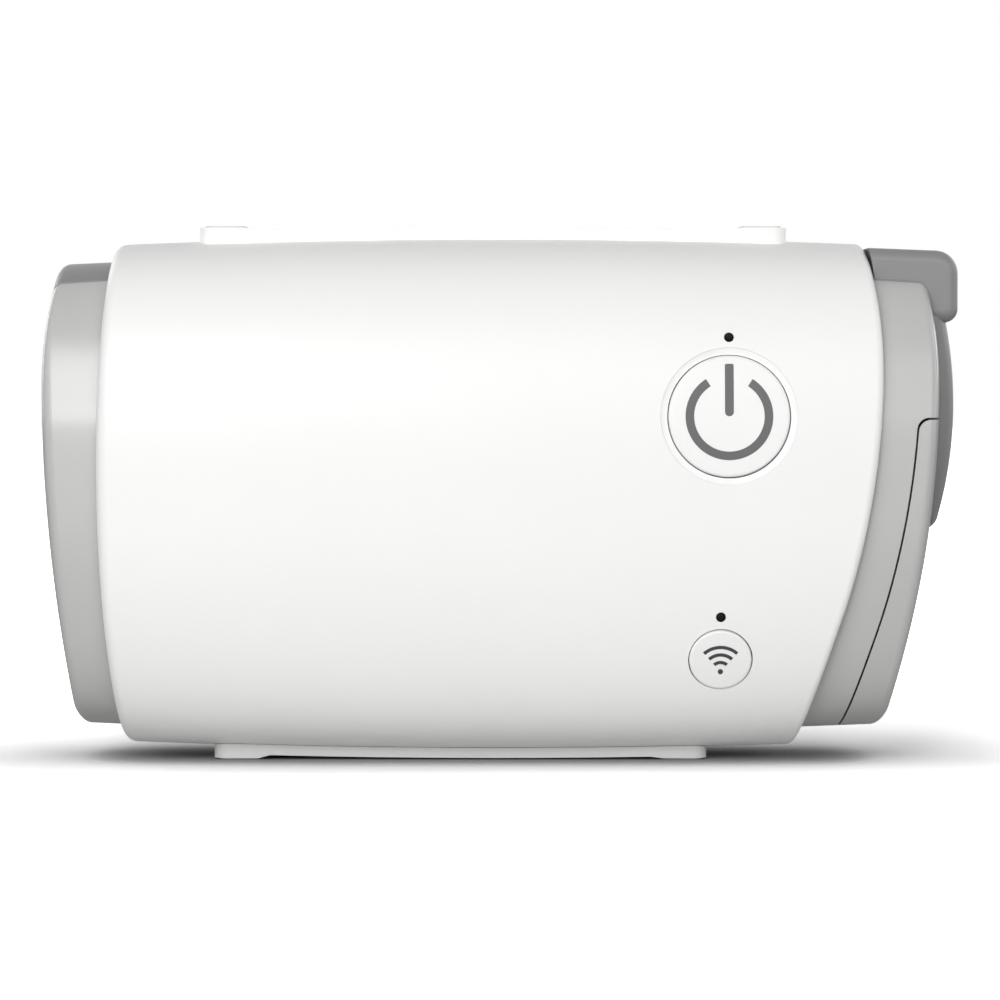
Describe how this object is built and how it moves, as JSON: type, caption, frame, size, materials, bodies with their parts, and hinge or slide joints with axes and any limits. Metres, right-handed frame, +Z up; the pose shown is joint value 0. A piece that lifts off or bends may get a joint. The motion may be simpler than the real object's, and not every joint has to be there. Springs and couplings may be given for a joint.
{
  "type": "cpap machine",
  "caption": "Palm-size travel CPAP machine: white wrap-around housing, grey end caps, start button, pairing button, filter cover, air outlet and power socket.",
  "frame": {"origin": "middle of the footprint, on the surface that the lower rail stands on", "axes": "+Z up, +X from the left end cap to the air outlet, front face with the buttons towards -Y"},
  "size_m": [0.1338, 0.052, 0.078],
  "materials": {
    "housing_white": "satin",
    "cap_grey": "satin",
    "frame_grey": "satin",
    "pad_white": "matte",
    "foot_grey": "matte",
    "port_grey": "satin",
    "seal_silicone": "satin",
    "lens_black": "polished",
    "socket_black": "satin",
    "plated_contact": "polished",
    "screw_steel": "satin",
    "board_green": "satin",
    "chip_black": "matte",
    "shield_tin": "satin",
    "sensor_white": "matte",
    "volute_plastic": "satin",
    "impeller_plastic": "satin",
    "magnet_nickel": "polished",
    "lamination_steel": "brushed",
    "winding_copper": "satin",
    "motor_aluminium": "satin",
    "lead_insulation": "satin",
    "foam_charcoal": "matte",
    "filter_fibre": "matte"
  },
  "bodies": {
    "housing": {"front_cover": "housing_white", "rear_cover": "housing_white", "chassis": "frame_grey", "left_end_cap": "cap_grey", "right_end_cap": "cap_grey", "outlet_port": "port_grey", "outlet_seal": "seal_silicone", "power_jack": "socket_black", "jack_pin": "plated_contact", "rear_feet": "foot_grey", "cover_screws": "screw_steel", "led_lenses": "lens_black", "main_board": "board_green", "board_screws": "screw_steel", "board_components": "chip_black", "radio_module": "shield_tin", "start_switch": "chip_black", "pairing_switch": "chip_black", "pressure_sensor": "sensor_white", "pressure_tube": "seal_silicone", "volute_cover": "volute_plastic", "volute_base": "volute_plastic", "blower_screws": "screw_steel", "blower_dampers": "seal_silicone", "motor_stator": "lamination_steel", "motor_coils": "winding_copper", "motor_bearings": "screw_steel", "motor_housing": "motor_aluminium", "motor_leads": "lead_insulation", "power_leads": "lead_insulation", "outlet_duct": "seal_silicone", "inlet_duct": "volute_plastic", "muffler_foam": "foam_charcoal", "top_rail": "housing_white", "top_rail_pads": "pad_white", "bottom_rail": "housing_white", "bottom_rail_pads": "pad_white"},
    "start_button": {"start_button": "housing_white"},
    "pairing_button": {"pairing_button": "housing_white"},
    "filter_cover": {"filter_cover": "cap_grey", "air_filter": "filter_fibre"},
    "rotor": {"impeller": "impeller_plastic", "motor_shaft": "screw_steel", "motor_magnet": "magnet_nickel"}
  },
  "joints": [
    {"name": "start_button_press", "type": "slide", "parent": "housing", "child": "start_button", "axis": [0, 0.9979, -0.0655], "range_m": [0, 0.0006], "stiffness_N_per_m": 400},
    {"name": "pairing_button_press", "type": "slide", "parent": "housing", "child": "pairing_button", "axis": [0, 0.9509, 0.3095], "range_m": [0, 0.0005], "stiffness_N_per_m": 400},
    {"name": "filter_cover_pull", "type": "slide", "parent": "housing", "child": "filter_cover", "axis": [1, 0, 0], "range_m": [0, 0.026]},
    {"name": "impeller_spin", "type": "hinge", "parent": "housing", "child": "rotor", "pos_m": [0.014, 0, 0.0335], "axis": [0, 1, 0], "continuous": true}
  ]
}
